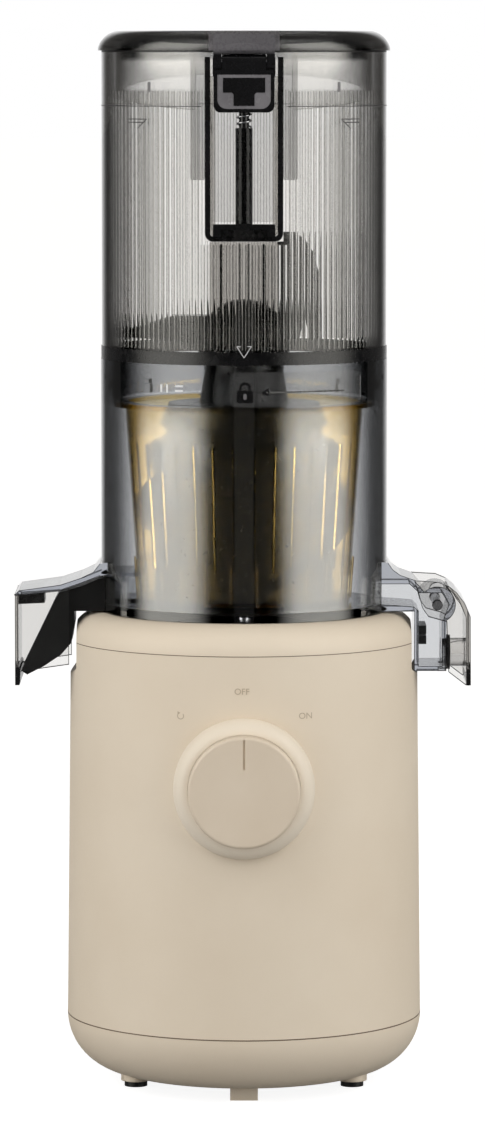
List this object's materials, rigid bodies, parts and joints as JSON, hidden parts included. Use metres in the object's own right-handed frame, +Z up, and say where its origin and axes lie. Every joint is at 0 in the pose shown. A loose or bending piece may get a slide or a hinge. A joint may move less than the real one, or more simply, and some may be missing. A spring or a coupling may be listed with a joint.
{
  "type": "cold press juicer",
  "caption": "Compact upright slow juicer with a clear self-feeding hopper, strainer bowl, juice and pulp spouts and a round dial on a beige body.",
  "frame": {"origin": "where the drive axis meets the surface that the juicer stands on", "axes": "+Z up along the drive axis, -Y towards the dial, +X towards the juice spout"},
  "size_m": [0.1984, 0.18, 0.4601],
  "materials": {
    "body_beige": "fine matte texture",
    "knob_beige": "fine matte texture",
    "smoke_clear": "clear smoked plastic",
    "bowl_clear": "clear smoked plastic",
    "lid_smoke": "dark smoked plastic",
    "clear_tube": "clear plastic",
    "amber": "amber plastic",
    "black_plastic": "satin",
    "black_rubber": "matte",
    "auger_dark": "satin",
    "steel": "brushed",
    "gear_steel": "machined",
    "gear_plastic": "moulded",
    "zinc": "zinc plated",
    "copper": "enamelled wire",
    "lamination": "laminated",
    "board_green": "solder mask",
    "grey_plastic": "moulded",
    "aluminium": "cast"
  },
  "bodies": {
    "base": {"body_shell": "body_beige", "top_housing": "body_beige", "base_cover": "body_beige", "rubber_feet": "black_rubber", "case_screws": "zinc", "rotary_switch": "grey_plastic", "switch_screws": "zinc", "cord_gland": "black_rubber", "control_board": "board_green", "bowl_sensor": "black_plastic", "motor_can": "steel", "motor_end_bell": "aluminium", "motor_bearings": "steel", "stator_core": "lamination", "stator_windings": "copper", "gearbox_housing": "aluminium", "ring_gear": "gear_plastic", "gearbox_cover": "aluminium", "output_bearings": "steel", "mount_bushes": "black_rubber", "shaft_seal": "black_rubber"},
    "knob": {"control_knob": "knob_beige", "knob_shaft": "steel"},
    "rotor": {"rotor_core": "lamination", "motor_shaft": "steel", "cooling_fan": "grey_plastic", "sun_gear": "gear_steel"},
    "first_stage": {"first_carrier": "gear_steel"},
    "first_planet_1": {"first_planet_1": "gear_plastic"},
    "first_planet_2": {"first_planet_2": "gear_plastic"},
    "first_planet_3": {"first_planet_3": "gear_plastic"},
    "output": {"output_carrier": "gear_steel", "output_shaft": "steel"},
    "second_planet_1": {"second_planet_1": "gear_steel"},
    "second_planet_2": {"second_planet_2": "gear_steel"},
    "second_planet_3": {"second_planet_3": "gear_steel"},
    "bowl": {"juicing_bowl": "bowl_clear", "bowl_seal": "black_rubber", "bowl_magnet": "steel", "spout_packing": "black_rubber", "juice_cap_pin": "steel", "pulp_chute": "black_rubber", "pulp_hood": "smoke_clear", "hood_clip": "black_plastic", "strainer": "amber"},
    "juice_cap": {"juice_cap": "smoke_clear", "juice_cap_seal": "black_rubber"},
    "auger": {"auger": "auger_dark", "feed_wing": "black_plastic"},
    "hopper": {"hopper": "smoke_clear", "hopper_base_ring": "black_plastic", "lid_hinge_pin": "steel", "rod_guide_tube": "clear_tube", "rod_spring": "steel"},
    "rod": {"interlock_rod": "black_plastic"},
    "lid": {"lid": "lid_smoke", "lid_band": "black_plastic", "lid_gasket": "black_rubber", "latch_pin": "steel"},
    "latch": {"lid_latch": "black_plastic"}
  },
  "joints": [
    {"name": "knob_turn", "type": "hinge", "parent": "base", "child": "knob", "pos_m": [0, -0.085, 0.1395], "axis": [0, 1, 0], "range_deg": [-45, 45]},
    {"name": "motor_spin", "type": "hinge", "parent": "base", "child": "rotor", "pos_m": [0, 0, 0.08], "axis": [0, 0, 1], "continuous": true},
    {"name": "first_carrier_spin", "type": "hinge", "parent": "base", "child": "first_stage", "pos_m": [0, 0, 0.127], "axis": [0, 0, 1], "continuous": true},
    {"name": "output_spin", "type": "hinge", "parent": "base", "child": "output", "pos_m": [0, 0, 0.18], "axis": [0, 0, 1], "continuous": true},
    {"name": "first_planet_1_spin", "type": "hinge", "parent": "first_stage", "child": "first_planet_1", "pos_m": [0.018, 0, 0.12], "axis": [0, 0, 1], "continuous": true},
    {"name": "first_planet_2_spin", "type": "hinge", "parent": "first_stage", "child": "first_planet_2", "pos_m": [-0.009, 0.01559, 0.12], "axis": [0, 0, 1], "continuous": true},
    {"name": "first_planet_3_spin", "type": "hinge", "parent": "first_stage", "child": "first_planet_3", "pos_m": [-0.009, -0.01559, 0.12], "axis": [0, 0, 1], "continuous": true},
    {"name": "second_planet_1_spin", "type": "hinge", "parent": "output", "child": "second_planet_1", "pos_m": [0.018, 0, 0.12], "axis": [0, 0, 1], "continuous": true},
    {"name": "second_planet_2_spin", "type": "hinge", "parent": "output", "child": "second_planet_2", "pos_m": [-0.009, 0.01559, 0.12], "axis": [0, 0, 1], "continuous": true},
    {"name": "second_planet_3_spin", "type": "hinge", "parent": "output", "child": "second_planet_3", "pos_m": [-0.009, -0.01559, 0.12], "axis": [0, 0, 1], "continuous": true},
    {"name": "bowl_lift", "type": "slide", "parent": "base", "child": "bowl", "axis": [0, 0, 1], "range_m": [0, 0.06]},
    {"name": "auger_spin", "type": "hinge", "parent": "bowl", "child": "auger", "pos_m": [0, 0, 0.25], "axis": [0, 0, 1], "continuous": true},
    {"name": "juice_cap_turn", "type": "hinge", "parent": "bowl", "child": "juice_cap", "pos_m": [0.084, 0, 0.212], "axis": [0, -1, 0], "range_deg": [0, 65]},
    {"name": "hopper_twist", "type": "hinge", "parent": "bowl", "child": "hopper", "pos_m": [0, 0, 0.38], "axis": [0, 0, 1], "range_deg": [0, 40]},
    {"name": "lid_turn", "type": "hinge", "parent": "hopper", "child": "lid", "pos_m": [0, 0.067, 0.4505], "axis": [-1, 0, 0], "range_deg": [0, 105]},
    {"name": "latch_turn", "type": "hinge", "parent": "lid", "child": "latch", "pos_m": [0, -0.06, 0.4475], "axis": [-1, 0, 0], "range_deg": [0, 12], "stiffness_Nm_per_rad": 0.02, "springref_deg": -20.05},
    {"name": "rod_slide", "type": "slide", "parent": "hopper", "child": "rod", "axis": [0, 0, 1], "range_m": [-0.005, 0], "stiffness_N_per_m": 200, "springref_m": 0.004, "deforming": ["rod_spring"]}
  ],
  "couplings": [
    {"joint": "first_carrier_spin", "follows": "motor_spin", "ratio": 0.16667},
    {"joint": "output_spin", "follows": "motor_spin", "ratio": 0.027778},
    {"joint": "auger_spin", "follows": "motor_spin", "ratio": 0.027778},
    {"joint": "first_planet_1_spin", "follows": "motor_spin", "ratio": -0.41667},
    {"joint": "first_planet_2_spin", "follows": "motor_spin", "ratio": -0.41667},
    {"joint": "first_planet_3_spin", "follows": "motor_spin", "ratio": -0.41667},
    {"joint": "second_planet_1_spin", "follows": "motor_spin", "ratio": -0.069444},
    {"joint": "second_planet_2_spin", "follows": "motor_spin", "ratio": -0.069444},
    {"joint": "second_planet_3_spin", "follows": "motor_spin", "ratio": -0.069444}
  ]
}
